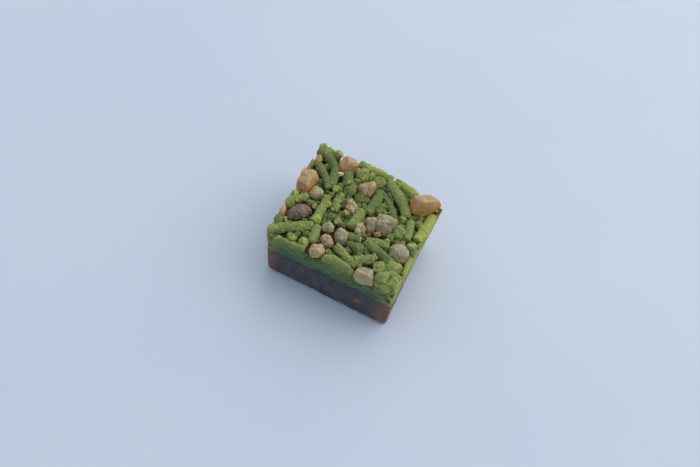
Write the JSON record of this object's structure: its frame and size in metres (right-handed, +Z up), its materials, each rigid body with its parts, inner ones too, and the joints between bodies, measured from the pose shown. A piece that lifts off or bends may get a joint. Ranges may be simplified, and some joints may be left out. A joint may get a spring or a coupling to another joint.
{
  "type": "matcha and red bean paste cake block",
  "caption": "Small hand-cut sweet: red bean paste below, matcha bean paste strands above, with candied chestnut pieces and a red bean.",
  "frame": {"origin": "middle of the foot of the block, on the surface that it stands on", "axes": "+X along the front edge to the right, +Y from front to back, +Z up"},
  "size_m": [0.047, 0.0412, 0.0258],
  "materials": {
    "red_bean_paste": "fine moist paste with bits of bean skin",
    "matcha_paste": "matte, finely granular pressed paste",
    "candied_chestnut": "translucent, glossy, broken surface",
    "azuki_skin": "wrinkled, slightly glossy skin"
  },
  "bodies": {
    "root": {"base_layer": "red_bean_paste", "matcha_layer": "matcha_paste", "azuki_bean": "azuki_skin", "chestnut_back": "candied_chestnut", "chestnut_left": "candied_chestnut", "chestnut_left_small": "candied_chestnut", "chestnut_heart": "candied_chestnut", "chestnut_rough": "candied_chestnut", "chestnut_middle_left": "candied_chestnut", "chestnut_middle": "candied_chestnut", "chestnut_speckled": "candied_chestnut", "chestnut_front_left": "candied_chestnut", "chestnut_centre": "candied_chestnut", "chestnut_slim": "candied_chestnut", "chestnut_centre_large": "candied_chestnut", "chestnut_centre_small": "candied_chestnut", "chestnut_corner": "candied_chestnut", "chestnut_right": "candied_chestnut", "chestnut_front": "candied_chestnut", "chestnut_back_left": "candied_chestnut", "chestnut_left_edge": "candied_chestnut", "chestnut_bit_in_base": "candied_chestnut"}
  },
  "joints": []
}
